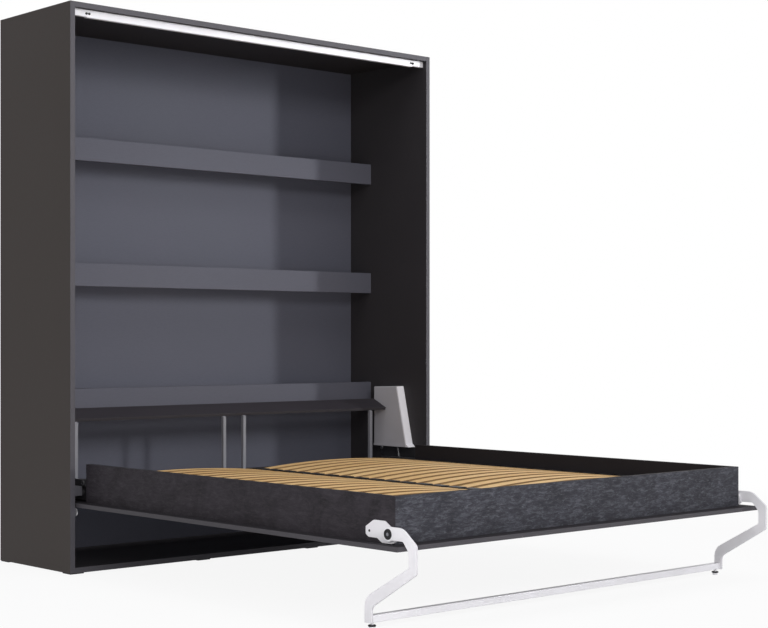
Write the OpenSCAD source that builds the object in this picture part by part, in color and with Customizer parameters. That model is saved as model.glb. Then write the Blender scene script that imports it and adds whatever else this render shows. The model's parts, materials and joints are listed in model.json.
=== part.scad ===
// Vertical wall bed, drawn open. X runs across, +Y towards the wall, +Z up, in millimetres.
// Inside the modules Y = 0 is the front of the cabinet and Z = 0 the underside of its boards.

/* [Cabinet] */
// Outer width
cabinet_w = 1997; // [1600:1:2200]
// Outer height of the boards
cabinet_h = 2300; // [2240:1:2360]
// Outer depth
cabinet_d = 560; // [540:1:640]
// Thickness of the side, top and bottom panels
board_t = 22; // [18:1:25]
// Thickness of the back panel
back_t = 8; // [3:1:12]
// Height of a glide under the bottom panel
glide_h = 4; // [2:1:12]
// Width of a glide
glide_w = 64; // [40:1:80]
// Depth of a glide
glide_d = 60; // [40:1:80]
// Distance from a side of the cabinet to the end glides
glide_inset_x = 2; // [1:1:20]
// Distance from the front and the back to the glides
glide_inset_y = 3; // [1:1:20]
// Distance from the left side to the second glide
glide_second_x = 630; // [560:1:700]
// Distance from the left side to the third glide
glide_third_x = 1233; // [1160:1:1300]
// Height of a cross rail
cross_rail_h = 100; // [60:1:140]
// Thickness of a cross rail
cross_rail_t = 22; // [16:1:25]
// Distance from the front of the cabinet to the cross rails
cross_rail_y = 400; // [396:1:440]
// Height of the underside of the lowest cross rail
cross_rail_z = 628; // [615:1:700]
// Height from one cross rail to the next
cross_rail_pitch = 542; // [400:1:600]

/* [Top rail] */
// Height of the steel tube under the top panel
top_rail_h = 31; // [20:1:40]
// Depth of the steel tube
top_rail_d = 20; // [12:1:30]
// Wall of the steel tube
top_rail_wall = 2; // [1.5:0.1:3]
// Distance from the front of the cabinet to the steel tube
top_rail_y = 24; // [22:1:40]
// Distance from the end of the tube to its first screw
rail_screw_inset = 68; // [40:1:90]
// Distance between the two screws at each end
rail_screw_gap = 13; // [11:0.5:20]

/* [Wall brackets] */
// Length of each leg of a wall bracket
wall_bracket_leg = 40; // [30:1:60]
// Width of a wall bracket
wall_bracket_w = 50; // [30:1:80]
// Thickness of a wall bracket
wall_bracket_t = 3; // [2:0.5:5]
// Diameter of the hole for the wall screw
wall_hole_d = 8; // [5:0.5:12]
// Distance between the two wall holes
wall_hole_pitch = 1400; // [1000:1:1500]

/* [Front panel] */
// Thickness of the front panel
panel_t = 16; // [12:1:18]
// Height of the open panel's underside
panel_z = 265; // [250:1:290]
// Gap between the panel and each side panel
panel_side_gap = 6; // [4:0.5:10]
// Gap between the closed panel and the top panel
panel_top_gap = 4; // [3:0.5:8]
// Gap between the closed panel and the bottom panel
panel_bottom_gap = 9; // [8:0.5:14]

/* [Bed border] */
// Height of the border boards
border_h = 155; // [110:1:170]
// Thickness of the border boards
border_t = 22; // [16:1:25]
// Distance from a side panel to the outside of the border
border_side_gap = 51.4; // [50:0.1:80]
// Distance from the foot edge of the panel to the border
border_foot_gap = 57; // [40:1:80]

/* [Slat frame] */
// Height of the frame rails
frame_h = 71; // [50:1:90]
// Width of a side rail of the frame
frame_rail_w = 30; // [24:1:40]
// Width of the centre beam
beam_w = 44; // [36:1:60]
// Thickness of the head rail
head_rail_t = 22; // [18:1:30]
// Distance from the front of the cabinet to the head rail
head_rail_y = 247; // [240:1:252]
// Number of slats on each side
slat_count = 20; // [12:1:20]
// Distance from one slat to the next
slat_pitch = 94.6; // [70:0.1:95]
// Gap between the two columns of slats
slat_middle_gap = 24; // [10:1:30]
// Width of a slat
slat_w = 60; // [38:1:66]
// Thickness of a slat
slat_t = 8; // [6:0.5:12]
// Rise of a slat at its middle
slat_rise = 22; // [5:1:25]
// Distance from the foot board to the middle of the first slat
slat_start = 63; // [60:1:110]
// Height of a slat holder under the slat
holder_base = 4; // [2:0.5:8]
// Wall of a slat holder
holder_wall = 3; // [2:0.5:4]
// Height of a slat holder's roof above the top of the slat end
holder_roof = 5; // [4:0.5:8]
// Length of slat end inside its holder
slat_seat = 26; // [16:1:30]
// Side of a panel batten
batten_s = 40; // [25:1:50]
// Number of panel battens along the bed
batten_count = 4; // [2:1:6]

/* [Head ledge] */
// Depth of the ledge board
ledge_w = 98; // [80:1:110]
// Thickness of the ledge board
ledge_t = 13; // [10:0.5:18]
// Slope of the ledge board in degrees
ledge_tilt = 25; // [15:1:30]
// Height of the ledge's front edge above the border
ledge_rise = 171; // [120:1:180]
// Gap between the ledge and each mechanism cover
ledge_cover_gap = 6.5; // [3:0.5:12]
// Side of a square post
post_s = 16; // [12:1:20]
// Distance from the inside of the border to the outer posts
post_outer_inset = 68; // [40:1:100]
// Distance between the two middle posts, centre to centre
post_middle_gap = 112; // [90:1:160]
// Height of the lower end of a post above the panel
post_inset = 12; // [5:1:40]

/* [Pivot] */
// Distance from the front of the cabinet to the bed pivot
pivot_y = 54; // [50:0.5:56]
// Diameter of the pivot pin
pivot_pin_d = 16; // [12:1:20]
// Radial clearance of a pin in its bore
pin_clearance = 0.1; // [0.05:0.01:0.2]
// Thickness of the mechanism plate
plate_t = 4; // [3:0.5:6]
// Gap between the fixed pivot block and the moving arm
arm_gap = 1; // [0.5:0.1:2]
// Thickness of the hinge arm's plate
arm_plate_t = 5; // [4:0.5:8]
// Width of the hinge arm's top bar
arm_bar_w = 14; // [10:1:18]
// Height of the hinge arm's top above the panel
arm_h = 90; // [80:1:100]
// Height of the hinge arm's top bar
arm_bar_h = 25; // [18:1:30]
// Diameter of the hinge arm's bolt heads
arm_bolt_d = 22; // [16:1:24]
// Diameter of the round glide between panel and cabinet side
side_glide_d = 34; // [20:1:40]

/* [Mechanism cover] */
// Width of a cover, out from the side panel
cover_w = 44.5; // [42:0.5:46]
// Wall of a cover
cover_wall = 2; // [1.5:0.1:3]
// Height of the bottom of a cover above the pivot
cover_bottom = 99; // [96:1:112]
// Height of a cover
cover_h = 294; // [280:1:300]
// Distance from the pivot to the front of a cover at its bottom
cover_front_low = 40; // [30:1:50]
// Distance from the pivot to the front of a cover at its top
cover_front_high = 109; // [90:1:120]
// Distance from the pivot to the back of a cover
cover_back = 275; // [250:1:285]
// Fall of a cover's top towards the wall
cover_fall = 5; // [0:1:12]
// Reach of the foot at the front of a cover
cover_lip = 14; // [4:1:20]

/* [Gas spring] */
// Distance from the pivot back to the spring's upper pin
spring_top_y = 171; // [150:1:190]
// Height of the spring's upper pin above the pivot
spring_top_z = 351; // [335:1:360]
// Distance from the pivot back to the crank stud, bed open
crank_y = 112; // [100:1:125]
// Height of the crank stud above the pivot, bed open
crank_z = 40; // [25:1:45]
// Diameter of the cylinder
cylinder_d = 26; // [22:1:28]
// Length of the cylinder
cylinder_l = 232; // [220:1:236]
// Distance from the upper pin to the cylinder
cylinder_start = 26; // [20:1:30]
// Diameter of the rod
rod_d = 10; // [8:1:12]
// Diameter of the spring's pins
spring_pin_d = 10; // [8:1:12]
// Outer diameter of a spring eye
eye_d = 24; // [20:1:28]
// Width of a spring eye
eye_w = 14; // [10:1:18]

/* [Leg] */
// Distance from the foot edge of the panel to the leg pivot
leg_pivot_inset = 70; // [66:1:90]
// Height of the leg pivot above the panel
leg_pivot_rise = 34; // [33:0.5:40]
// Width of the leg bar
leg_w = 35; // [30:1:40]
// Width of the leg bar at its pivot
leg_root_w = 42.8; // [38:0.1:46]
// Thickness of the leg bar
leg_t = 8; // [5:0.5:10]
// Reach of the leg's front beyond its pivot
leg_reach = 131.5; // [126:0.5:140]
// Distance from the pivot back to the middle of the leg's lower end
leg_foot_back = 97; // [80:1:105]
// Diameter of the leg's pivot bolt
leg_pin_d = 12; // [10:1:14]
// Diameter of the round cap on the leg's pivot
leg_cap_d = 35; // [28:1:40]
// Gap between the leg and its bracket plate
leg_gap = 7.4; // [4:0.1:12]
// Diameter of the collar between the leg and its bracket plate
leg_collar_d = 26; // [20:1:32]
// Thickness of the bracket plate behind the leg
bracket_t = 6; // [4:0.5:7]
// Side of the square crossbar tube
crossbar_h = 25; // [20:1:30]
// Wall of the crossbar tube
crossbar_wall = 2; // [1.5:0.1:3]
// Height of the lower end of the leg above the floor
leg_clear = 21.5; // [18:0.5:30]
// Diameter of a foot under the crossbar
foot_d = 27; // [20:1:34]
// Height of a foot
foot_h = 13.5; // [10:0.5:16]

/* [Hidden] */

// Cabinet
inner_w = cabinet_w - 2 * board_t;
half_w = cabinet_w / 2;
under_top = cabinet_h - board_t;

// Pivot and front panel: the closed panel is flush with the front and fills the opening
panel_top = panel_z + panel_t;
pivot_z = panel_z + pivot_y;
swing_reach = pivot_y + pivot_z;
foot_y = swing_reach - under_top + panel_top_gap;
head_y = swing_reach - board_t - panel_bottom_gap;
panel_x = board_t + panel_side_gap;

// Border and slat frame
border_x = board_t + border_side_gap;
border_foot_y = foot_y + border_foot_gap;
well_x = border_x + border_t;
well_foot_y = border_foot_y + border_t;
border_top = panel_top + border_h;
frame_top = panel_top + frame_h;
slat_z = frame_top + holder_base;
beam_x = half_w - beam_w / 2;
holder_l = slat_seat + holder_wall;
slat_x0 = well_x + holder_wall;
slat_x1 = half_w - slat_middle_gap / 2;
slat_chord = slat_x1 - slat_x0;
slat_r = (slat_chord * slat_chord / 4 + slat_rise * slat_rise) / (2 * slat_rise);
slat_steps = 20;
slat_fit = 0.4;
slat_hole_h = slat_t + 2;

// Head ledge
ledge_overlap = 2;
post_y = head_rail_y - post_s;
ledge_y = post_y + ledge_overlap;
ledge_z = border_top + ledge_rise;
ledge_x = board_t + cover_w + ledge_cover_gap;

// Mechanism
pin_r = pivot_pin_d / 2;
bore_r = pin_r + pin_clearance;
plate_margin = 8;
block_x = board_t + plate_t;
arm_x = well_x - arm_plate_t - arm_bar_w;
block_w = arm_x - arm_gap - block_x;
block_d = 40;
block_below = 12;
block_above = 27;
plate_outline = [[-24, -40], [40, -40], [cover_back - plate_margin, 60],
    [cover_back - plate_margin, cover_bottom + cover_h - plate_margin],
    [cover_front_high + plate_margin, cover_bottom + cover_h - plate_margin],
    [cover_front_low + plate_margin, cover_bottom - 6], [-24, cover_bottom - 14]];
arm_foot = 7;
arm_front = 6;
arm_back = 4;
arm_bar_front = 9;
arm_bar_back = 60;
arm_boss_wall = 9;
arm_bolt_y = [24, 110];
arm_bolt_t = 8;
side_glide_y = 4;
side_glide_drop = 19;
side_glide_play = 0.8;
lip_h = 6;
lip_out = 1;
spring_x = board_t + cover_w / 2 + 2;
spring_pin_y = pivot_y + spring_top_y;
spring_pin_z = pivot_z + spring_top_z;
stud_y = pivot_y + crank_y;
stud_z = pivot_z + crank_z;
spring_l = norm([spring_top_y - crank_y, spring_top_z - crank_z]);
spring_lean = atan2(spring_top_y - crank_y, spring_top_z - crank_z);
stud_gap = 0.5;
stud_d = spring_pin_d + 4;
collar_d = spring_pin_d + 8;
collar_gap = 1;
pin_reach = 3;
neck_d = 12;
neck_overlap = 4;
cylinder_cap = 8;
rod_inside = 30;
rod_clearance = 0.1;
piston_t = 8;
piston_clearance = 0.5;
cylinder_wall = 2.5;
bolt_head_d = 16;
bolt_head_t = 5;
plate_bolts = [[6, 78], [110, 30], [cover_back - 17, 86], [cover_back - 17, cover_bottom + cover_h - 53],
    [cover_front_high + 23, cover_bottom + cover_h - 53]];

// Leg frame
leg_pivot_y = foot_y + leg_pivot_inset;
leg_pivot_z = panel_top + leg_pivot_rise;
leg_x = border_x - bracket_t - leg_gap - leg_t;
leg_end_z = leg_clear - glide_h - leg_pivot_z;
leg_root_r = 24.3;
leg_cap_t = 3;
leg_bolt_play = 0.3;

// Outline of the leg from its pivot, and the radius at each corner
leg_front = [-leg_reach, -leg_reach + leg_w];
leg_low = [leg_foot_back - leg_w / 2, leg_foot_back + leg_w / 2];
leg_slant = 0.62 * leg_w;
leg_under = leg_root_r - leg_root_w;
leg_outline = [[-8, leg_root_r], [-67, leg_root_r], [leg_front[0], -26.2], [leg_front[0], -96.7 - leg_slant],
    [leg_low[0], -222.6 - leg_slant], [leg_low[0], leg_end_z], [leg_low[1], leg_end_z],
    [leg_low[1], -237.9 + leg_slant], [leg_front[1], -121.5 + leg_slant], [leg_front[1], -50.6],
    [-69.8, leg_under], [-8, leg_under]];
leg_radii = [0, 60, 14, 12, 25, 2, 2, 55, 8, 20, 10, 0];

bracket_outline = [[125.6, 15.7], [110.2, 24.7], [87.2, 38.9], [34.2, 39.1], [8, 23.1], [-18, 4],
    [-25.5, -20.5], [-14.4, -27.8], [-1.4, -33], [45.5, -33], [70.1, -19], [112.1, -18.9], [125.6, -9.9]];
bracket_bolt = [107.1, 2];
bracket_bolt_d = 8;
bracket_bolt_t = 0.6;
foot_step = 8;
foot_taper = 7;
foot_stem_d = 10;
crossbar_inset = 1.5;
crossbar_y = leg_pivot_y + leg_low[1] - crossbar_inset - crossbar_h;
crossbar_z = leg_clear - glide_h;
crossbar_x = leg_x + leg_t;

// Frame: the middle of the whole depth lies at Y = 0 and the floor at Z = 0
front_reach = leg_pivot_y - leg_reach;
mid_y = (front_reach + cabinet_d) / 2;

// Screw heads of the steel tube
rail_screw_d = 9;
rail_screw_tip = 5;
rail_screw_t = 3;

// Reach of a cut past a face
past = 1;

board_colour = "#3d3b40";
back_colour = "#4c4d57";
border_colour = "#45464d";
steel_colour = "#2b2a2d";
white_colour = "#e6e4ea";
slat_colour = "#cda877";
metal_colour = "#9a9aa0";
cover_colour = "#77777c";
fine = 48;

// Placing
module at_left() { translate([-half_w, -mid_y, glide_h]) children(); }
module at_right() { mirror([1, 0, 0]) at_left() children(); }
module at_both() {
    at_left() children();
    at_right() children();
}

// A board from one corner to the opposite one
module board(low, high) { translate(low) cube(high - low); }

// An outline in the YZ plane, pushed along +X
module side_plate(x, t) { translate([x, 0, 0]) rotate([90, 0, 90]) linear_extrude(t) children(); }

// A round bar along +Z
module rod(d, l) { cylinder(d = d, h = l, $fn = fine); }

// A round bar along +X
module cross_pin(x, y, z, d, l) { translate([x, y, z]) rotate([0, 90, 0]) rod(d, l); }

// A closed outline with its corners rounded
function unit(v) = v / norm(v);
function arc(a, b, c, r, n = 6) =
    let (u = unit(a - b), v = unit(c - b), half = acos(u * v) / 2)
    let (centre = b + unit(u + v) * r / sin(half))
    let (first = b + u * r / tan(half) - centre, last = b + v * r / tan(half) - centre)
    let (from = atan2(first[1], first[0]), turn = atan2(last[1], last[0]) - from)
    let (sweep = turn > 180 ? turn - 360 : (turn < -180 ? turn + 360 : turn))
    [for (i = [0:n]) centre + r * [cos(from + sweep * i / n), sin(from + sweep * i / n)]];
function rounded(points, radii) = let (n = len(points)) [for (i = [0:n - 1])
    each radii[i] > 0 ? arc(points[(i + n - 1) % n], points[i], points[(i + 1) % n], radii[i]) : [points[i]]];
function reversed(list) = [for (i = [len(list) - 1:-1:0]) list[i]];

// Cabinet
module side_panel() {
    color(board_colour) board([0, 0, 0], [board_t, cabinet_d, cabinet_h]);
}
module left_side_panel() { at_left() side_panel(); }
module right_side_panel() { at_right() side_panel(); }
module level_panel(z) {
    color(board_colour) at_left() board([board_t, 0, z], [board_t + inner_w, cabinet_d, z + board_t]);
}
module top_panel() { level_panel(under_top); }
module bottom_panel() { level_panel(0); }
module back_panel() {
    color(back_colour) at_left()
        board([board_t, cabinet_d - back_t, board_t], [board_t + inner_w, cabinet_d, under_top]);
}
module cross_rail(level) {
    z = cross_rail_z + level * cross_rail_pitch;
    color(back_colour) at_left()
        board([board_t, cross_rail_y, z],
            [board_t + inner_w, cross_rail_y + cross_rail_t, z + cross_rail_h]);
}
module cross_rail_lower() { cross_rail(0); }
module cross_rail_middle() { cross_rail(1); }
module cross_rail_upper() { cross_rail(2); }
module top_steel_rail() {
    z0 = under_top - top_rail_h;
    color(white_colour) at_left() difference() {
        board([board_t, top_rail_y, z0], [board_t + inner_w, top_rail_y + top_rail_d, under_top]);
        board([board_t - past, top_rail_y + top_rail_wall, z0 + top_rail_wall],
            [board_t + inner_w + past, top_rail_y + top_rail_d - top_rail_wall, under_top - top_rail_wall]);
    }
}
module rail_screws() {
    color(steel_colour) at_both() for (i = [0, 1])
        translate([board_t + rail_screw_inset + i * rail_screw_gap, top_rail_y, under_top - top_rail_h / 2])
            rotate([90, 0, 0])
            cylinder(d1 = rail_screw_d, d2 = rail_screw_tip, h = rail_screw_t, $fn = fine);
}
module cabinet_glides() {
    color(steel_colour) at_left() for (
            x = [glide_inset_x, glide_second_x, glide_third_x, cabinet_w - glide_inset_x - glide_w],
            y = [glide_inset_y, cabinet_d - glide_inset_y - glide_d])
        board([x, y, -glide_h], [x + glide_w, y + glide_d, 0]);
}
module wall_brackets() {
    color(metal_colour) at_left() for (side = [-1, 1])
        translate([half_w + side * wall_hole_pitch / 2, cabinet_d, cabinet_h]) difference() {
            union() {
                board([-wall_bracket_w / 2, -wall_bracket_leg, 0], [wall_bracket_w / 2, 0, wall_bracket_t]);
                board([-wall_bracket_w / 2, -wall_bracket_t, 0], [wall_bracket_w / 2, 0, wall_bracket_leg]);
            }
            translate([0, past, wall_bracket_leg / 2 + wall_bracket_t])
                rotate([90, 0, 0]) rod(wall_hole_d, wall_bracket_t + 2 * past);
        }
}

// Fixed side of the mechanism
module mechanism_plate() {
    color(steel_colour) side_plate(board_t, plate_t)
        polygon([for (p = plate_outline) p + [pivot_y, pivot_z]]);
}
module mechanism_plate_left() { at_left() mechanism_plate(); }
module mechanism_plate_right() { at_right() mechanism_plate(); }
module plate_bolts() {
    color(metal_colour) at_both() for (p = plate_bolts)
        cross_pin(block_x, pivot_y + p[0], pivot_z + p[1], bolt_head_d, bolt_head_t);
}
module pivot_blocks() {
    color(metal_colour) at_both() difference() {
        board([block_x, pivot_y - block_d / 2, pivot_z - block_below],
            [block_x + block_w, pivot_y + block_d / 2, pivot_z + block_above]);
        cross_pin(block_x - past, pivot_y, pivot_z, 2 * bore_r, block_w + 2 * past);
    }
}
module side_glides() {
    color("silver") at_both()
        cross_pin(board_t, side_glide_y, panel_z - side_glide_drop, side_glide_d,
            panel_side_gap - side_glide_play);
}
module spring_anchor_pins() {
    color(metal_colour) at_both() {
        cross_pin(block_x, spring_pin_y, spring_pin_z, spring_pin_d,
            spring_x + eye_w / 2 + pin_reach - block_x);
        cross_pin(block_x, spring_pin_y, spring_pin_z, collar_d,
            spring_x - eye_w / 2 - collar_gap - block_x);
    }
}
function cover_outline(inset) = [for (p = [
    [cover_front_low + inset, cover_bottom - (inset > 0 ? past : 0)],
    [cover_front_high + inset, cover_bottom + cover_h - inset],
    [cover_back - inset, cover_bottom + cover_h - cover_fall - inset],
    [cover_back - inset, cover_bottom - (inset > 0 ? past : 0)]]) p + [pivot_y, pivot_z]];
module mechanism_cover() {
    low = [pivot_y, pivot_z + cover_bottom];
    color(cover_colour) difference() {
        union() {
            side_plate(board_t, cover_w) polygon(cover_outline(0));
            board([board_t, low[0] + cover_front_low - cover_lip, low[1]],
                [board_t + cover_w + lip_out, low[0] + cover_back, low[1] + lip_h]);
        }
        side_plate(board_t - past, cover_w - cover_wall + past) polygon(cover_outline(cover_wall));
    }
}
module mechanism_cover_left() { at_left() mechanism_cover(); }
module mechanism_cover_right() { at_right() mechanism_cover(); }

// Bed
module front_panel() {
    color(board_colour) at_left()
        board([panel_x, foot_y, panel_z], [cabinet_w - panel_x, head_y, panel_top]);
}
module border_side() {
    color(border_colour) board([border_x, well_foot_y, panel_top], [well_x, 0, border_top]);
}
module border_left() { at_left() border_side(); }
module border_right() { at_right() border_side(); }
module foot_board() {
    color(border_colour) at_left()
        board([border_x, border_foot_y, panel_top], [cabinet_w - border_x, well_foot_y, border_top]);
}
module frame_rail() {
    color(steel_colour)
        board([well_x, well_foot_y, panel_top], [well_x + frame_rail_w, head_rail_y, frame_top]);
}
module frame_rail_left() { at_left() frame_rail(); }
module frame_rail_right() { at_right() frame_rail(); }
module head_rail() {
    color(steel_colour) at_left() board([well_x, head_rail_y, panel_top],
        [cabinet_w - well_x, head_rail_y + head_rail_t, frame_top]);
}
module foot_rail() {
    color(steel_colour) at_left() board([well_x + frame_rail_w, well_foot_y, panel_top],
        [cabinet_w - well_x - frame_rail_w, well_foot_y + head_rail_t, frame_top]);
}
module centre_beam() {
    color(steel_colour) at_left() board([beam_x, well_foot_y + head_rail_t, panel_top],
        [beam_x + beam_w, head_rail_y, frame_top]);
}
function slat_y(i) = well_foot_y + slat_start + i * slat_pitch;
function slat_arc(r) = [for (i = [0:slat_steps])
    let (a = asin(slat_chord / 2 / slat_r) * (2 * i / slat_steps - 1)) [r * sin(a), r * cos(a)]];
module slat() {
    rotate([90, 0, 0]) linear_extrude(slat_w, center = true) translate([0, slat_rise - slat_r])
        polygon(concat(slat_arc(slat_r), reversed(slat_arc(slat_r + slat_t))));
}
module slats() {
    color(slat_colour) for (i = [0:slat_count - 1])
        translate([slat_x0 + slat_chord / 2, slat_y(i), slat_z]) slat();
}
module slats_left() { at_left() slats(); }
module slats_right() { at_right() slats(); }
module holder(l) {
    difference() {
        translate([0, -slat_w / 2 - holder_wall, 0])
            cube([l, slat_w + 2 * holder_wall, holder_base + slat_t + holder_roof]);
        translate([-past, -slat_w / 2 - slat_fit, holder_base - slat_fit])
            cube([l + 2 * past, slat_w + 2 * slat_fit, slat_hole_h + 2 * slat_fit]);
    }
}
module slat_holders_outer() {
    color(steel_colour) at_both() for (i = [0:slat_count - 1])
        translate([well_x, slat_y(i), frame_top]) holder(holder_l);
}
module slat_holders_centre() {
    color(steel_colour) at_left() for (i = [0:slat_count - 1])
        translate([beam_x, slat_y(i), frame_top]) holder(beam_w);
}
module panel_battens() {
    step = (head_rail_y - well_foot_y) / (batten_count + 1);
    color(steel_colour) at_both() for (i = [1:batten_count])
        board([well_x + frame_rail_w, well_foot_y + i * step - batten_s / 2, panel_top],
            [beam_x, well_foot_y + i * step + batten_s / 2, panel_top + batten_s]);
}
module hinge_arm() {
    color(steel_colour) difference() {
        union() {
            board([well_x - arm_plate_t, arm_front, panel_top + arm_foot],
                [well_x, head_rail_y - arm_back, panel_top + arm_h]);
            board([arm_x, arm_bar_front, panel_top + arm_h - arm_bar_h],
                [well_x - arm_plate_t, head_rail_y - arm_bar_back, panel_top + arm_h]);
            cross_pin(arm_x, pivot_y, pivot_z, pivot_pin_d + 2 * arm_boss_wall, arm_bar_w);
            cross_pin(spring_x + eye_w / 2 + stud_gap, stud_y, stud_z, stud_d,
                well_x - arm_plate_t - spring_x - eye_w / 2 - stud_gap);
        }
        cross_pin(arm_x - past, pivot_y, pivot_z, 2 * bore_r, arm_bar_w + arm_plate_t + 2 * past);
    }
}
module hinge_arm_left() { at_left() hinge_arm(); }
module hinge_arm_right() { at_right() hinge_arm(); }
module arm_bolts() {
    color(steel_colour) at_both() for (y = arm_bolt_y)
        cross_pin(arm_x - arm_bolt_t, y, panel_top + arm_h - arm_bar_h / 2, arm_bolt_d, arm_bolt_t);
}
module pivot_pins() {
    color(metal_colour) at_both()
        cross_pin(block_x + 4, pivot_y, pivot_z, pivot_pin_d, well_x - block_x - 4);
}
module head_posts() {
    color(metal_colour) at_left() difference() {
        for (x = [well_x + post_outer_inset, half_w - (post_middle_gap + post_s) / 2,
                half_w + (post_middle_gap - post_s) / 2, cabinet_w - well_x - post_outer_inset - post_s])
            board([x, post_y, panel_top + post_inset], [x + post_s, head_rail_y, ledge_z + post_s]);
        ledge_slope(-ledge_w, -ledge_t, 3 * ledge_w, 3 * ledge_t);
    }
}
module ledge_slope(from, down, w, t) {
    translate([ledge_x, ledge_y, ledge_z]) rotate([ledge_tilt, 0, 0])
        board([-past, from, down], [cabinet_w - 2 * ledge_x + past, from + w, down + t]);
}
module head_ledge() {
    color(board_colour) at_left() translate([ledge_x, ledge_y, ledge_z]) rotate([ledge_tilt, 0, 0])
        board([0, 0, -ledge_t], [cabinet_w - 2 * ledge_x, ledge_w, 0]);
}

// Leg frame
module leg_at() { translate([0, leg_pivot_y, leg_pivot_z]) children(); }
module leg_brackets() {
    color(white_colour) at_both() leg_at() difference() {
        side_plate(border_x - bracket_t, bracket_t) polygon(bracket_outline);
        cross_pin(border_x - bracket_t - past, 0, 0, leg_pin_d + 2 * pin_clearance, bracket_t + 2 * past);
    }
}
module bracket_bolts() {
    color(steel_colour) at_both() leg_at()
        cross_pin(border_x - bracket_t - bracket_bolt_t, bracket_bolt[0], bracket_bolt[1],
            bracket_bolt_d, bracket_bolt_t);
}
module leg() {
    color(white_colour) leg_at() difference() {
        union() {
            side_plate(leg_x, leg_t) polygon(rounded(leg_outline, leg_radii));
            cross_pin(leg_x, 0, 0, 2 * leg_root_r, leg_t);
        }
        cross_pin(leg_x - past, 0, 0, leg_pin_d + 2 * pin_clearance, leg_t + 2 * past);
    }
}
module leg_left() { at_left() leg(); }
module leg_right() { at_right() leg(); }
module leg_crossbar() {
    depth = [crossbar_y, crossbar_y + crossbar_h];
    height = [crossbar_z, crossbar_z + crossbar_h];
    color(white_colour) at_left() difference() {
        board([crossbar_x, depth[0], height[0]], [cabinet_w - crossbar_x, depth[1], height[1]]);
        board([crossbar_x - past, depth[0] + crossbar_wall, height[0] + crossbar_wall],
            [cabinet_w - crossbar_x + past, depth[1] - crossbar_wall, height[1] - crossbar_wall]);
    }
}
module leg_bolts() {
    color(metal_colour) at_both() leg_at() {
        cross_pin(leg_x, 0, 0, leg_pin_d, border_x - leg_x - leg_bolt_play);
        cross_pin(leg_x + leg_t, 0, 0, leg_collar_d, leg_gap - leg_bolt_play);
    }
}
module leg_caps() {
    color("#1d1d1f") at_both() leg_at() cross_pin(leg_x - leg_cap_t, 0, 0, leg_cap_d, leg_cap_t);
}
module leg_feet() {
    color("#141416") at_both() translate([crossbar_x + foot_d / 2, crossbar_y + crossbar_h / 2, -glide_h]) {
        rod(foot_d - foot_taper, foot_step);
        translate([0, 0, foot_step]) rod(foot_d, foot_h - foot_step);
        translate([0, 0, foot_h]) rod(foot_stem_d, crossbar_z + glide_h - foot_h);
    }
}

// Gas spring, drawn down its own line from the upper pin
module spring_at() {
    translate([spring_x, spring_pin_y, spring_pin_z]) rotate([-spring_lean, 0, 0]) children();
}
module spring_cylinder() {
    color(steel_colour) spring_at() difference() {
        union() {
            translate([0, 0, -cylinder_start - cylinder_l]) rod(cylinder_d, cylinder_l);
            translate([0, 0, -cylinder_start - neck_overlap]) rod(neck_d, cylinder_start + neck_overlap);
            cross_pin(-eye_w / 2, 0, 0, eye_d, eye_w);
        }
        cross_pin(-eye_w / 2 - past, 0, 0, spring_pin_d + 2 * pin_clearance, eye_w + 2 * past);
        translate([0, 0, -cylinder_start - cylinder_l - past])
            rod(rod_d + 2 * rod_clearance, cylinder_cap + 2 * past);
        translate([0, 0, -cylinder_start - cylinder_l + cylinder_cap])
            rod(cylinder_d - 2 * cylinder_wall, cylinder_l - 2 * cylinder_cap);
    }
}
module spring_rod() {
    color("silver") spring_at() difference() {
        union() {
            translate([0, 0, -spring_l]) rod(rod_d, spring_l - cylinder_start - rod_inside);
            translate([0, 0, -cylinder_start - rod_inside])
                rod(cylinder_d - 2 * cylinder_wall - 2 * piston_clearance, piston_t);
            cross_pin(-eye_w / 2, 0, -spring_l, eye_d, eye_w);
        }
        cross_pin(-eye_w / 2 - past, 0, -spring_l, spring_pin_d + 2 * pin_clearance, eye_w + 2 * past);
    }
}
module spring_cylinder_left() { at_left() spring_cylinder(); }
module spring_cylinder_right() { at_right() spring_cylinder(); }
module spring_rod_left() { at_left() spring_rod(); }
module spring_rod_right() { at_right() spring_rod(); }

left_side_panel();
right_side_panel();
top_panel();
bottom_panel();
back_panel();
cross_rail_lower();
cross_rail_middle();
cross_rail_upper();
top_steel_rail();
rail_screws();
cabinet_glides();
wall_brackets();
mechanism_plate_left();
mechanism_plate_right();
plate_bolts();
pivot_blocks();
side_glides();
spring_anchor_pins();
mechanism_cover_left();
mechanism_cover_right();
front_panel();
border_left();
border_right();
foot_board();
frame_rail_left();
frame_rail_right();
head_rail();
foot_rail();
centre_beam();
slats_left();
slats_right();
slat_holders_outer();
slat_holders_centre();
panel_battens();
hinge_arm_left();
hinge_arm_right();
arm_bolts();
pivot_pins();
head_posts();
head_ledge();
leg_brackets();
bracket_bolts();
leg_left();
leg_right();
leg_crossbar();
leg_bolts();
leg_caps();
leg_feet();
spring_cylinder_left();
spring_cylinder_right();
spring_rod_left();
spring_rod_right();
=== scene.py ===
# Wall bed, shown open: cabinet, slatted bed on side pivots, folding leg frame
import json
import math
import random

import bmesh
import bpy
from mathutils import Matrix, Vector


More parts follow.
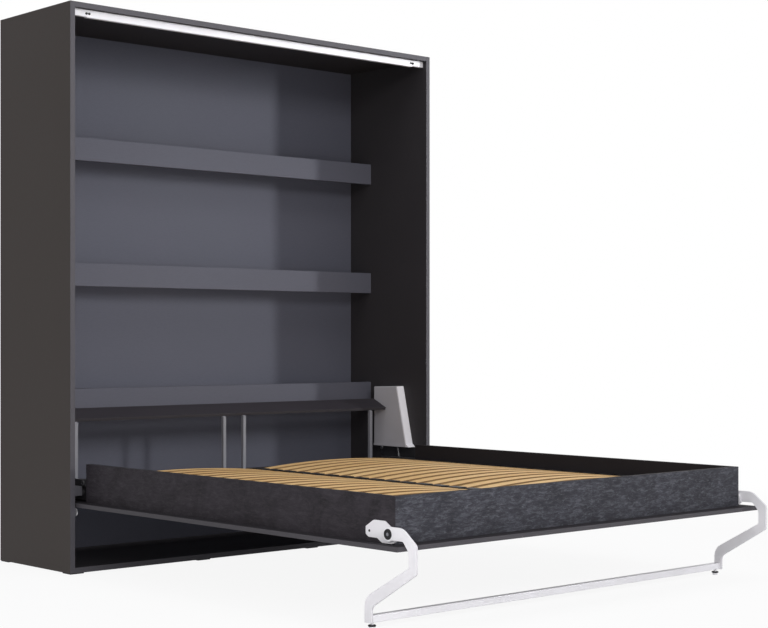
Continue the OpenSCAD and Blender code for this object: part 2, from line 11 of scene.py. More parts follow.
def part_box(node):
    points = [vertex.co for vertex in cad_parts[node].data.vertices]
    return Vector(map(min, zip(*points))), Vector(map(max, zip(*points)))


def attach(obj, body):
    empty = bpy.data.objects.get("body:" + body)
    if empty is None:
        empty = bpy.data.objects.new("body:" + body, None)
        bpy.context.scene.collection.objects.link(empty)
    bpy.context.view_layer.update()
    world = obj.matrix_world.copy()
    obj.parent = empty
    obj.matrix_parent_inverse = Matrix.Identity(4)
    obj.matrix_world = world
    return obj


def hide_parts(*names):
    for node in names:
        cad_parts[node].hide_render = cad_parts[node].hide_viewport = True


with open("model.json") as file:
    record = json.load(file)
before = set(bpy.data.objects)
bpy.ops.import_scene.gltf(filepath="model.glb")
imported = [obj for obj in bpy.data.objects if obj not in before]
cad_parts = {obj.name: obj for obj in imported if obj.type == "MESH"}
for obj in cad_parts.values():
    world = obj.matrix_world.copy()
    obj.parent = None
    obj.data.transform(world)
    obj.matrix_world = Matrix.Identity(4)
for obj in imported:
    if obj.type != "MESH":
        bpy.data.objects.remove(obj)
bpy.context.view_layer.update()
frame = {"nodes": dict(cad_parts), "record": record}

scene = bpy.context.scene
bodyOf = {n: b for b, ns in frame["record"]["behaviour"]["bodies"].items() for n in ns}
print("frame loaded:", len(bodyOf), "nodes")

# Camera, level, from the left of the bed's foot
cameraLook = {
    "place": (-4.5295, -5.05235, 0.9477),
    "turn": 42.273,  # degrees to the right of +Y
    "lens": 77.55,
    "sensor": 36,
    "rise": 0.0320,
    "reach": 60,
}
camera = bpy.data.objects.new("roomCamera", bpy.data.cameras.new("roomCamera"))
scene.collection.objects.link(camera)
camera.location = cameraLook["place"]
camera.rotation_euler = (math.radians(90), 0, -math.radians(cameraLook["turn"]))
camera.data.sensor_width = cameraLook["sensor"]
camera.data.lens = cameraLook["lens"]
camera.data.shift_y = cameraLook["rise"]
camera.data.clip_end = cameraLook["reach"]
scene.camera = camera
scene.view_settings.view_transform = "Standard"
print("camera set")


# Shader building
def newFinish(name, roughness, metallic=0.0, specular=0.5):
    finish = bpy.data.materials.new(name)
    finish.use_nodes = True
    tree = finish.node_tree
    tree.nodes.clear()
    skin = tree.nodes.new("ShaderNodeBsdfPrincipled")
    skin.inputs["Roughness"].default_value = roughness
    skin.inputs["Metallic"].default_value = metallic
    skin.inputs["Specular IOR Level"].default_value = specular
    out = tree.nodes.new("ShaderNodeOutputMaterial")
    tree.links.new(skin.outputs[0], out.inputs[0])
    return finish, tree, skin


def plug(tree, socket, value):
    if isinstance(value, bpy.types.NodeSocket):
        tree.links.new(value, socket)
    elif isinstance(value, (tuple, list)) and len(value) == 3 and len(socket.default_value) == 4:
        socket.default_value = (*value, 1)
    else:
        socket.default_value = value


def restCoords(tree, stretch=(1, 1, 1), shift=(0, 0, 0)):
    place = tree.nodes.new("ShaderNodeTexCoord")
    move = tree.nodes.new("ShaderNodeMapping")
    move.inputs["Scale"].default_value = stretch
    move.inputs["Location"].default_value = shift
    tree.links.new(place.outputs["Object"], move.inputs["Vector"])
    return move.outputs[0]


def noiseOf(tree, coords, scale, detail=4, rough=0.55, twist=0.0):
    noise = tree.nodes.new("ShaderNodeTexNoise")
    tree.links.new(coords, noise.inputs["Vector"])
    noise.inputs["Scale"].default_value = scale
    noise.inputs["Detail"].default_value = detail
    noise.inputs["Roughness"].default_value = rough
    noise.inputs["Distortion"].default_value = twist
    return noise.outputs["Fac"]


# A noise from a layer's own settings
def layerNoise(tree, layer, stretch=(1, 1, 1)):
    coords = restCoords(tree, layer.get("stretch", stretch), layer.get("shift", (0, 0, 0)))
    return noiseOf(tree, coords, layer["scale"], layer["detail"], layer["rough"], layer.get("twist", 0.0))


def spread(tree, value, low, high, toLow=0.0, toHigh=1.0):
    remap = tree.nodes.new("ShaderNodeMapRange")
    for socket, amount in zip(remap.inputs[:5], (value, low, high, toLow, toHigh)):
        plug(tree, socket, amount)
    return remap.outputs[0]


# Of the node's sockets, 6 and 7 take the colours and output 2 gives one
def blendColours(tree, share, first, second):
    mix = tree.nodes.new("ShaderNodeMix")
    mix.data_type = "RGBA"
    for socket, value in ((0, share), (6, first), (7, second)):
        plug(tree, mix.inputs[socket], value)
    return mix.outputs[2]


def bumpFrom(tree, skin, height, depth):
    bump = tree.nodes.new("ShaderNodeBump")
    bump.inputs["Strength"].default_value = 1.0
    bump.inputs["Distance"].default_value = depth
    tree.links.new(height, bump.inputs["Height"])
    tree.links.new(bump.outputs[0], skin.inputs["Normal"])


def mathOf(tree, way, first, second):
    node = tree.nodes.new("ShaderNodeMath")
    node.operation = way
    plug(tree, node.inputs[0], first)
    plug(tree, node.inputs[1], second)
    return node.outputs[0]


# Smooth decor board: two close tones, faint pores and a slight orange peel. What a board's own look
# sets goes before these.
decorLook = {
    "specular": 0.18,
    "clouds": {"scale": 2.2, "detail": 3, "rough": 0.5},
    "cloudRange": (0.3, 0.7),
    "pores": {"scale": 9, "detail": 6, "rough": 0.65},
    "grain": (60, 60, 6),
    "poreRange": (0.45, 0.75, 0, 0.55),
    "poreTone": 0.82,
    "peel": 0.00006,
    "roughSpan": (-0.04, 0.05),
}


def decorBoard(name, ownLook):
    look = {**decorLook, **ownLook}
    finish, tree, skin = newFinish(name, look["roughness"], specular=look["specular"])
    clouds = spread(tree, layerNoise(tree, look["clouds"]), *look["cloudRange"])
    pores = layerNoise(tree, look["pores"], look["grain"])
    darker = tuple(c * look["poreTone"] for c in look["tone"])
    tone = blendColours(tree, clouds, look["tone"], look["tint"])
    tone = blendColours(tree, spread(tree, pores, *look["poreRange"]), tone, darker)
    tree.links.new(tone, skin.inputs["Base Color"])
    rough = spread(tree, clouds, 0, 1, *(look["roughness"] + step for step in look["roughSpan"]))
    tree.links.new(rough, skin.inputs["Roughness"])
    bumpFrom(tree, skin, pores, look["peel"])
    return finish


boardLooks = {
    # The outer faces of the cabinet's sides take the outerSide tone. The dark tone is the same decor made
    # darker: painted shade. It goes on the inner faces, the top and bottom boards and the bed panel's
    # underside.
    "outerSide": {"tone": (0.052, 0.0435, 0.040), "tint": (0.061, 0.0525, 0.048), "roughness": 0.62},
    "dark": {"tone": (0.031, 0.028, 0.031), "tint": (0.036, 0.033, 0.036), "roughness": 0.62},
    "back": {"tone": (0.082, 0.084, 0.108), "tint": (0.090, 0.091, 0.116), "roughness": 0.62,
             "grain": (6, 60, 60)},
    "rail": {"tone": (0.084, 0.085, 0.108), "tint": (0.090, 0.090, 0.112), "roughness": 0.6,
             "grain": (6, 60, 60)},
    # The band tones: the glued edge bands are real, but their lighter tone is painted light on edges facing
    # the lamps.
    "band": {"tone": (0.072, 0.069, 0.079), "tint": (0.080, 0.076, 0.085), "roughness": 0.55,
             "peel": 0.00003},
    "litPanelBand": {"tone": (0.064, 0.060, 0.068), "tint": (0.070, 0.066, 0.072), "roughness": 0.55,
                  "peel": 0.00003},
    # The bed panel's top face is darker than the cabinet's outer decor: painted shade under the foot board
    # and the slat frame.
    "panel": {"tone": (0.025, 0.023, 0.027), "tint": (0.029, 0.027, 0.031), "roughness": 0.7,
              "specular": 0.06},
    "ledge": {"tone": (0.026, 0.023, 0.028), "tint": (0.030, 0.027, 0.032), "roughness": 0.7,
              "specular": 0.1},
    # The ledge's band, lighter than the ledge itself: painted light on its edges.
    "litLedgeBand": {"tone": (0.044, 0.041, 0.047), "tint": (0.048, 0.045, 0.050), "roughness": 0.6,
                  "peel": 0.00003, "specular": 0.12},
    "black": {"tone": (0.014, 0.012, 0.014), "tint": (0.018, 0.016, 0.018), "roughness": 0.75},
}
boards = {name: decorBoard(name + "Board", look) for name, look in boardLooks.items()}

# Mottled slate decor of the border boards. Each mark has the noise range it covers and its share.
borderLook = {
    "deep": (0.024, 0.024, 0.030),
    "mid": (0.058, 0.059, 0.073),
    "pale": (0.210, 0.212, 0.240),
    "foot": {"shade": (0.95, 0.95, 0.95), "contrast": 1.0},
    # The side copy is darker and flatter than the foot copy: painted shade on the border's side faces.
    "side": {"shade": (0.62, 0.53, 0.52), "contrast": 0.35},
    "roughness": 0.72,
    "specular": 0.2,
    "clouds": {"scale": 7, "stretch": (1, 1, 1.25), "detail": 10, "rough": 0.68, "twist": 0.8},
    "veins": {"scale": 95, "stretch": (0.27, 0.27, 1.1), "shift": (3, 1, 2), "detail": 9, "rough": 0.82,
              "twist": 0.5},
    "specks": {"scale": 210, "stretch": (0.36, 0.36, 1.2), "detail": 4, "rough": 0.7, "twist": 0.3},
    "cloudRange": (0.34, 0.66),
    "deepVeins": (0.52, 0.38, 0.80),
    "paleVeins": (0.50, 0.72, 0.55),
    "paleSpecks": (0.60, 0.76, 0.70),
    "roughRange": (0.3, 0.7, 0.82, 0.62),
    "relief": 0.0012,
    "veinRelief": 0.6,
}


def slateDecor(name, which):
    look, shade, contrast = borderLook, borderLook[which]["shade"], borderLook[which]["contrast"]
    finish, tree, skin = newFinish(name, look["roughness"], specular=look["specular"])
    clouds, veins, specks = (layerNoise(tree, look[layer]) for layer in ("clouds", "veins", "specks"))
    deep, mid, pale = (tuple(c * s for c, s in zip(look[k], shade)) for k in ("deep", "mid", "pale"))
    tone = blendColours(tree, spread(tree, clouds, *look["cloudRange"]), deep, mid)
    for noise, mark, colour in ((veins, "deepVeins", deep), (veins, "paleVeins", pale),
                                (specks, "paleSpecks", pale)):
        start, stop, share = look[mark]
        tone = blendColours(tree, spread(tree, noise, start, stop, 0, share * contrast), tone, colour)
    tree.links.new(tone, skin.inputs["Base Color"])
    tree.links.new(spread(tree, veins, *look["roughRange"]), skin.inputs["Roughness"])
    relief = mathOf(tree, "ADD", clouds, mathOf(tree, "MULTIPLY", veins, look["veinRelief"]))
    bumpFrom(tree, skin, relief, look["relief"] * contrast)
    return finish


# One copy for the foot face and a darker, flatter copy for the side faces, which is painted shade.
slateFoot = slateDecor("slateFoot", "foot")
slateShadedSide = slateDecor("slateShadedSide", "side")


# Painted or moulded surface: one colour with a fine skin and slight unevenness. What its own look
# sets goes before these.
skinLook = {"metallic": 0.0, "specular": 0.5, "stretch": (1, 1, 1), "patches": 6, "shift": 0.94,
            "patchRange": (0.35, 0.65), "fineRange": (0.3, 0.7), "roughSpan": (-0.05, 0.05)}


def skinFinish(name, ownLook):
    look = {**skinLook, **ownLook}
    finish, tree, skin = newFinish(name, look["roughness"], look["metallic"], look["specular"])
    coords = restCoords(tree, look["stretch"])
    patches = spread(tree, noiseOf(tree, coords, look["patches"], rough=0.5), *look["patchRange"])
    second = tuple(c * look["shift"] for c in look["tone"])
    tree.links.new(blendColours(tree, patches, look["tone"], second), skin.inputs["Base Color"])
    fine = noiseOf(tree, coords, look["skinScale"], detail=2, rough=0.5)
    span = (look["roughness"] + step for step in look["roughSpan"])
    tree.links.new(spread(tree, fine, *look["fineRange"], *span), skin.inputs["Roughness"])
    bumpFrom(tree, skin, fine, look["skinDepth"])
    return finish


paintLooks = {
    "white": {"tone": (0.86, 0.85, 0.875), "roughness": 0.42, "skinScale": 900, "skinDepth": 0.00004},
    # A greyer copy of the white paint for the legs' narrow edge faces: painted shade.
    "shadedLegEdge": {"tone": (0.66, 0.65, 0.675), "roughness": 0.55, "skinScale": 900, "skinDepth": 0.00006},
    "darkSteel": {"tone": (0.026, 0.025, 0.028), "roughness": 0.5, "skinScale": 900, "skinDepth": 0.00004},
    "zinc": {"tone": (0.46, 0.46, 0.48), "roughness": 0.38, "metallic": 0.85, "skinScale": 300,
             "skinDepth": 0.00002, "stretch": (1, 1, 8), "shift": 0.85},
    "greyBlock": {"tone": (0.075, 0.073, 0.085), "roughness": 0.5, "skinScale": 500, "skinDepth": 0.00004},
    "silver": {"tone": (0.205, 0.206, 0.228), "roughness": 0.45, "specular": 0.25, "skinScale": 400,
               "skinDepth": 0.00002, "stretch": (8, 8, 1)},
    "rodSteel": {"tone": (0.085, 0.085, 0.090), "roughness": 0.3, "metallic": 0.4, "skinScale": 200,
                 "skinDepth": 0.000005},
    "cover": {"tone": (0.455, 0.445, 0.475), "roughness": 0.5, "skinScale": 1400, "skinDepth": 0.00005},
    "coverStrip": {"tone": (0.90, 0.89, 0.94), "roughness": 0.45, "skinScale": 1400, "skinDepth": 0.00003},
    "blackPlastic": {"tone": (0.016, 0.015, 0.017), "roughness": 0.5, "specular": 0.2, "skinScale": 1200,
                     "skinDepth": 0.00004},
    "rubber": {"tone": (0.012, 0.012, 0.013), "roughness": 0.75, "skinScale": 700, "skinDepth": 0.00008},
}
paints = {name: skinFinish(name + "Finish", look) for name, look in paintLooks.items()}

# Varnished beech: long fine grain along the slat, small flecks, its own tone for each slat
beechLook = {
    "pale": (0.720, 0.490, 0.240),
    "warm": (0.610, 0.385, 0.165),
    "dark": (0.260, 0.135, 0.050),
    # The near-black brown of the sawn long edges and the ends is mostly painted shade. The glued layers
    # there are real.
    "edge": (0.105, 0.052, 0.021),
    "edgeShadeShare": 0.82,
    "roughness": 0.6,
    "specular": 0.1,
    "grain": {"scale": 3, "stretch": (2.5, 90, 90), "detail": 8, "rough": 0.62, "twist": 0.6},
    "grainRange": (0.42, 0.7, 0, 0.5),
    "flecks": {"scale": 2.2, "stretch": (40, 420, 420), "detail": 3, "rough": 0.55},
    "fleckRange": (0.6, 0.75, 0, 0.45),
    "relief": 0.00012,
}


def beechFinish(name, paintedShadeEdges):
    look = beechLook
    finish, tree, skin = newFinish(name, look["roughness"], specular=look["specular"])
    grain, flecks = layerNoise(tree, look["grain"]), layerNoise(tree, look["flecks"])
    slatTone = tree.nodes.new("ShaderNodeAttribute")
    slatTone.attribute_name = "slatTone"
    tone = blendColours(tree, slatTone.outputs["Fac"], look["pale"], look["warm"])
    tone = blendColours(tree, spread(tree, grain, *look["grainRange"]), tone, look["warm"])
    tone = blendColours(tree, spread(tree, flecks, *look["fleckRange"]), tone, look["dark"])
    if paintedShadeEdges:  # sawn long edges: real glued layers, darkened far beyond them as painted shade
        tone = blendColours(tree, look["edgeShadeShare"], tone, look["edge"])
    tree.links.new(tone, skin.inputs["Base Color"])
    bumpFrom(tree, skin, grain, look["relief"])
    return finish


beechTop = beechFinish("beechTop", False)
beechShadedEdge = beechFinish("beechShadedEdge", True)
print("finishes made")


# Parts of pieces, each a small mesh of its own
def roundOff(bm, edges, radius, steps=2):
    if edges:
        bmesh.ops.bevel(bm, geom=edges, offset=radius, segments=steps, profile=0.5,
                        affect="EDGES", clamp_overlap=True)


def sharpEdges(bm, degrees=50):
    limit = math.radians(degrees)
    return [e for e in bm.edges if len(e.link_faces) == 2 and e.calc_face_angle(0) > limit]


# A block with rounded edges, rounded at most by a share of its thinnest side
mostRound = 0.45


def blockPart(low, high, radius, slot=0, steps=2):
    bm = bmesh.new()
    bmesh.ops.create_cube(bm, size=1)
    size = Vector(high) - Vector(low)
    middle = (Vector(high) + Vector(low)) / 2
    for v in bm.verts:
        v.co = Vector(a * b for a, b in zip(v.co, size)) + middle
    roundOff(bm, list(bm.edges), min(radius, mostRound * min(size)), steps)
    for f in bm.faces:
        f.material_index = slot
    return bm


# An outline in the YZ plane between two X places
def platePart(outline, x0, x1, radius, slot=0, steps=2):
    bm = bmesh.new()
    ends = [[bm.verts.new((x, y, z)) for y, z in outline] for x in (min(x0, x1), max(x0, x1))]
    bm.faces.new(ends[0])
    bm.faces.new(ends[1])
    for i in range(len(outline)):
        j = (i + 1) % len(outline)
        bm.faces.new((ends[0][i], ends[0][j], ends[1][j], ends[1][i]))
    bmesh.ops.recalc_face_normals(bm, faces=bm.faces)
    roundOff(bm, sharpEdges(bm), radius, steps)
    for f in bm.faces:
        f.material_index = slot
    return bm


# A turned form: profile of (distance along the axis, radius), first to last
def turnedPart(profile, start, axis, slot=0, count=40):
    bm = bmesh.new()
    turn = Vector((0, 0, 1)).rotation_difference(Vector(axis)).to_matrix()
    rings = []
    for along, radius in profile:
        if radius == 0:
            rings.append([bm.verts.new(turn @ Vector((0, 0, along)) + Vector(start))])
            continue
        ring = []
        for i in range(count):
            a = 2 * math.pi * i / count
            spot = Vector((radius * math.cos(a), radius * math.sin(a), along))
            ring.append(bm.verts.new(turn @ spot + Vector(start)))
        rings.append(ring)
    for a, b in zip(rings, rings[1:]):
        for i in range(count):
            j = (i + 1) % count
            corners = [a[i % len(a)], a[j % len(a)], b[j % len(b)], b[i % len(b)]]
            unique = list(dict.fromkeys(corners))
            if len(unique) > 2:
                bm.faces.new(unique)
    for ring in (rings[0], rings[-1]):
        if len(ring) > 2:
            bm.faces.new(ring)
    bmesh.ops.recalc_face_normals(bm, faces=bm.faces)
    for f in bm.faces:
        f.material_index = slot
    return bm


# A screw or bolt head with a round recess and a hexagon socket, as shares of its radius and height
headLook = {"lip": 0.12, "rim": 0.55, "recess": 0.5, "recessFloor": 0.45, "socket": 0.40, "socketFoot": 0.2,
            "socketTop": 0.62}


def headParts(start, axis, radius, height):
    look, lip, floor = headLook, headLook["lip"] * radius, headLook["recessFloor"] * height
    head = [(0, radius), (height - lip, radius), (height, radius - lip), (height, look["rim"] * radius),
            (floor, look["recess"] * radius), (floor, 0)]
    wide, foot, top = look["socket"] * radius, look["socketFoot"] * height, look["socketTop"] * height
    return [turnedPart(head, start, axis),
            turnedPart([(foot, wide), (top, wide), (top, 0)], start, axis, slot=1, count=6)]


# The CAD node's own form, its flat faces joined up and its edges rounded off
nodeLook = {"weld": 1e-5, "flat": 1}


def nodePart(node, radius):
    bm = bmesh.new()
    bm.from_mesh(frame["nodes"][node].data)
    bmesh.ops.remove_doubles(bm, verts=bm.verts, dist=nodeLook["weld"])
    bmesh.ops.dissolve_limit(bm, angle_limit=math.radians(nodeLook["flat"]), verts=bm.verts, edges=bm.edges)
    bmesh.ops.recalc_face_normals(bm, faces=bm.faces)
    roundOff(bm, sharpEdges(bm), radius)
    for f in bm.faces:
        f.material_index = 0
    return bm


def makePiece(name, parts, finishes, nodes, body=None, smooth=38):
    mesh = bpy.data.meshes.new(name)
    whole = bmesh.new()
    for part in parts:
        step = bpy.data.meshes.new("step")
        part.to_mesh(step)
        part.free()
        whole.from_mesh(step)
        bpy.data.meshes.remove(step)
    whole.to_mesh(mesh)
    whole.free()
    for finish in finishes:
        mesh.materials.append(finish)
    mesh.shade_smooth()
    mesh.set_sharp_from_angle(angle=math.radians(smooth))
    piece = bpy.data.objects.new(name, mesh)
    scene.collection.objects.link(piece)
    even = piece.modifiers.new("evenShading", "WEIGHTED_NORMAL")
    even.keep_sharp = True
    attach(piece, body or bodyOf[nodes[0]])
    if nodes:
        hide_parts(*nodes)
    return piece


def boxOf(node):
    low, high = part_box(node)
    return list(low), list(high)


# A block with thin layers on some of its sides, as pairs of a side, "-y" for the front, and a slot
def layeredParts(low, high, layers, look, coreSlot=0):
    low, high, parts = low[:], high[:], []
    for side, slot in layers:
        axis = "xyz".index(side[1])
        layerLow, layerHigh = low[:], high[:]
        if side[0] == "-":
            layerHigh[axis] = low[axis] = low[axis] + look["band"]
        else:
            layerLow[axis] = high[axis] = high[axis] - look["band"]
        parts.append(blockPart(layerLow, layerHigh, look["bandRound"], slot))
    return [blockPart(low, high, look["coreRound"], coreSlot, look["coreSteps"])] + parts


# A board with glued edge bands. One other side can have a face of its own.
boardLook = {"band": 0.001, "bandRound": 0.00045, "coreRound": 0.0003, "coreSteps": 1}


def bandedBoard(name, node, face, band, sides, other=None):
    layers, finishes = [(side, 1) for side in sides], [face, band]
    if other:
        layers.append((other[0], 2))
        finishes.append(other[1])
    makePiece(name, layeredParts(*boxOf(node), layers, boardLook), finishes, [node])


# Cabinet boards. Their inner faces take the darker dark tone, which is painted shade of the cabinet's
# inside.
bandedBoard("leftSide", "left_side_panel", boards["outerSide"], boards["band"],
            ("-y", "-z", "+z", "+y"), other=("+x", boards["dark"]))
bandedBoard("rightSide", "right_side_panel", boards["dark"], boards["band"],
            ("-y", "-z", "+z", "+y"), other=("+x", boards["outerSide"]))
bandedBoard("topBoard", "top_panel", boards["dark"], boards["band"], ("-y", "+y"))
bandedBoard("bottomBoard", "bottom_panel", boards["dark"], boards["band"], ("-y", "+y"))
bandedBoard("backBoard", "back_panel", boards["back"], boards["back"], ())
for level in ("lower", "middle", "upper"):
    bandedBoard(level + "CrossRail", "cross_rail_" + level, boards["rail"], boards["rail"],
                ("-z", "+z"))
print("cabinet boards made")

# White square tube under the top board, with a lower end piece and two screws at each end
tubeLook = {"wall": 0.002, "round": 0.0012, "endLong": 0.071, "endLap": 0.004, "endRise": 0.003,
            "endIn": 0.0006, "screwIn": 0.0045, "screwRadius": 0.0052, "screwHeight": 0.003,
            "screwGap": 0.013}


# Hollow square tube along X, open at its ends
def squareTube(low, high, wall, radius):
    bm = bmesh.new()
    loops = []
    for x in (low[0], high[0]):
        for cut in (0, wall):
            loops.append([bm.verts.new((x, y, z)) for y, z in (
                (low[1] + cut, low[2] + cut), (high[1] - cut, low[2] + cut),
                (high[1] - cut, high[2] - cut), (low[1] + cut, high[2] - cut))])
    outerNear, innerNear, outerFar, innerFar = loops
    for i in range(4):
        j = (i + 1) % 4
        bm.faces.new((outerNear[i], outerNear[j], outerFar[j], outerFar[i]))
        bm.faces.new((innerNear[j], innerNear[i], innerFar[i], innerFar[j]))
        bm.faces.new((outerNear[j], outerNear[i], innerNear[i], innerNear[j]))
        bm.faces.new((outerFar[i], outerFar[j], innerFar[j], innerFar[i]))
    bmesh.ops.recalc_face_normals(bm, faces=bm.faces)
    long = [e for e in bm.edges if abs(e.verts[0].co.x - e.verts[1].co.x) > wall]
    roundOff(bm, long, radius, steps=3)
    return bm


low, high = boxOf("top_steel_rail")
endLong, endIn = tubeLook["endLong"], tubeLook["endIn"]
tubeParts = [squareTube([low[0] + endLong, *low[1:]], [high[0] - endLong, *high[1:]],
                        tubeLook["wall"], tubeLook["round"])]
for side in (-1, 1):
    x0, x1 = sorted((side * high[0], side * (high[0] - endLong - tubeLook["endLap"])))
    tubeParts.append(squareTube([x0, low[1] + endIn, low[2] + tubeLook["endRise"]],
                                [x1, high[1] - endIn, high[2]], tubeLook["wall"], tubeLook["round"]))
makePiece("topTube", tubeParts, [paints["white"]], ["top_steel_rail"])
screwLow, screwHigh = boxOf("rail_screws")
screwZ = (screwLow[2] + screwHigh[2]) / 2
screwParts = []
for side in (-1, 1):
    outer = side * (abs(screwLow[0]) - tubeLook["screwIn"])
    for x in (outer, outer - side * tubeLook["screwGap"]):
        screwParts += headParts((x, screwHigh[1], screwZ), (0, -1, 0), tubeLook["screwRadius"],
                                tubeLook["screwHeight"])
makePiece("tubeScrews", screwParts, [paints["rubber"], paints["blackPlastic"]], ["rail_screws"])

# Small fittings that keep their CAD form, with rounded edges: node, paint, slot and rounding
fittingLook = {
    "wallAngles": ("wall_brackets", "zinc", "zinc_steel", 0.0006),
    "floorGlides": ("cabinet_glides", "blackPlastic", "black_plastic", 0.0012),
    "leftFixedPlate": ("mechanism_plate_left", "darkSteel", "dark_steel", 0.0006),
    "rightFixedPlate": ("mechanism_plate_right", "darkSteel", "dark_steel", 0.0006),
    "pivotBlocks": ("pivot_blocks", "greyBlock", "zinc_steel", 0.0012),
    "springPins": ("spring_anchor_pins", "zinc", "zinc_steel", 0.0006),
    "leftHingeArm": ("hinge_arm_left", "darkSteel", "dark_steel", 0.0012),
    "rightHingeArm": ("hinge_arm_right", "darkSteel", "dark_steel", 0.0012),
    "pivotPins": ("pivot_pins", "zinc", "zinc_steel", 0.0008),
    "legPivotBolts": ("leg_bolts", "white", "zinc_steel", 0.0005),
}
for name, (node, paint, slotName, radius) in fittingLook.items():
    makePiece(name, [nodePart(node, radius)], [paints[paint]], [node])
print("tube, glides and fittings made")

# Axis of the side pivots
pivotY, pivotZ = 0.75525, 0.323

# Bolts of the fixed plates, placed from the pivot, and of the hinge arms
plateBoltLook = {"radius": 0.008, "height": 0.005,
                 "spots": ((0.006, 0.078), (0.110, 0.030), (0.258, 0.086), (0.258, 0.340), (0.132, 0.340))}
low, high = boxOf("plate_bolts")
boltParts = []
for side in (-1, 1):
    for y, z in plateBoltLook["spots"]:
        boltParts += headParts((side * high[0], pivotY + y, pivotZ + z), (-side, 0, 0),
                               plateBoltLook["radius"], plateBoltLook["height"])
makePiece("plateBolts", boltParts, [paints["zinc"], paints["blackPlastic"]], ["plate_bolts"])
armBoltLook = {"radius": 0.011, "height": 0.008}
low, high = boxOf("arm_bolts")
boltParts = []
for side in (-1, 1):
    for y in (low[1] + armBoltLook["radius"], high[1] - armBoltLook["radius"]):
        inner = abs(low[0]) - armBoltLook["height"]
        boltParts += headParts((side * inner, y, (low[2] + high[2]) / 2), (side, 0, 0),
                               armBoltLook["radius"], armBoltLook["height"])
makePiece("armBolts", boltParts, [paints["darkSteel"], paints["blackPlastic"]], ["arm_bolts"])

# Thin round glides between the front panel and the cabinet's sides
discLook = {"profile": ((0, 0.017), (0.0042, 0.017), (0.0052, 0.016), (0.0052, 0.011), (0.0040, 0.010),
                        (0.0040, 0.0045), (0.0052, 0.004), (0.0052, 0))}
low, high = boxOf("side_glides")
glideY, glideZ = (low[1] + high[1]) / 2, (low[2] + high[2]) / 2
discParts = [turnedPart(discLook["profile"], (side * high[0], glideY, glideZ), (-side, 0, 0))
             for side in (-1, 1)]
makePiece("sideDiscs", discParts, [paints["zinc"]], ["side_glides"])

# Mechanism covers: open moulded shells with a pale front strip, a collar and a foot at the bottom. The
# foot's outline starts from the lower front corner.
coverLook = {"wall": 0.002, "corner": 0.0045, "frontLow": 0.040, "frontHigh": 0.109, "back": 0.275,
             "bottom": 0.099, "height": 0.294, "fall": 0.005, "innerIn": 0.001, "collar": 0.011,
             "collarOut": 0.0007, "collarDeep": 0.0015, "collarRound": 0.0004, "stripTop": 0.293,
             "stripOut": 0.0009, "stripDeep": 0.001, "stripWrap": 0.006, "wrapDeep": 0.0012,
             "stripRound": 0.0005, "groove": 0.0016, "grooveOut": 0.0001, "grooveDeep": 0.0008,
             "grooveRound": 0.0001, "footRound": 0.0008,
             "foot": ((-0.014, 0), (-0.012, 0.0035), (-0.003, 0.013), (0.004, 0.013), (0.002, 0))}
coverY, coverZ = pivotY + coverLook["frontLow"], pivotZ + coverLook["bottom"]
coverBack = pivotY + coverLook["back"]
coverLean = (coverLook["frontHigh"] - coverLook["frontLow"]) / coverLook["height"]


def coverShell(side, outer, inner):
    rise = coverLook["height"]
    spots = [(coverY, coverZ), (pivotY + coverLook["frontHigh"], coverZ + rise),
             (coverBack, coverZ + rise - coverLook["fall"]), (coverBack, coverZ)]
    bm = bmesh.new()
    ends = [[bm.verts.new((side * x, y, z)) for y, z in spots] for x in (outer, inner)]
    bm.faces.new(ends[1])
    for i in range(3):
        bm.faces.new((ends[0][i], ends[0][i + 1], ends[1][i + 1], ends[1][i]))
    bmesh.ops.recalc_face_normals(bm, faces=bm.faces)
    middle = sum((v.co for v in bm.verts), Vector()) / len(bm.verts)
    if sum((f.calc_center_median() - middle).dot(f.normal) for f in bm.faces) < 0:
        bmesh.ops.reverse_faces(bm, faces=bm.faces)
    roundOff(bm, sharpEdges(bm, degrees=20), coverLook["corner"], steps=4)
    return bm


# Outline of a strip along the slanted front, between two depths behind it
def frontStrip(near, far, start=0.0):
    low, top, shift = coverZ + start, coverZ + coverLook["stripTop"], coverLean * coverLook["stripTop"]
    return [(coverY + near, low), (coverY + near + shift, top), (coverY + far + shift, top),
            (coverY + far, low)]


def coverBlock(outline, side, x0, x1, radius, slot=0, steps=2):
    return platePart(outline, side * x0, side * x1, coverLook[radius], slot, steps)


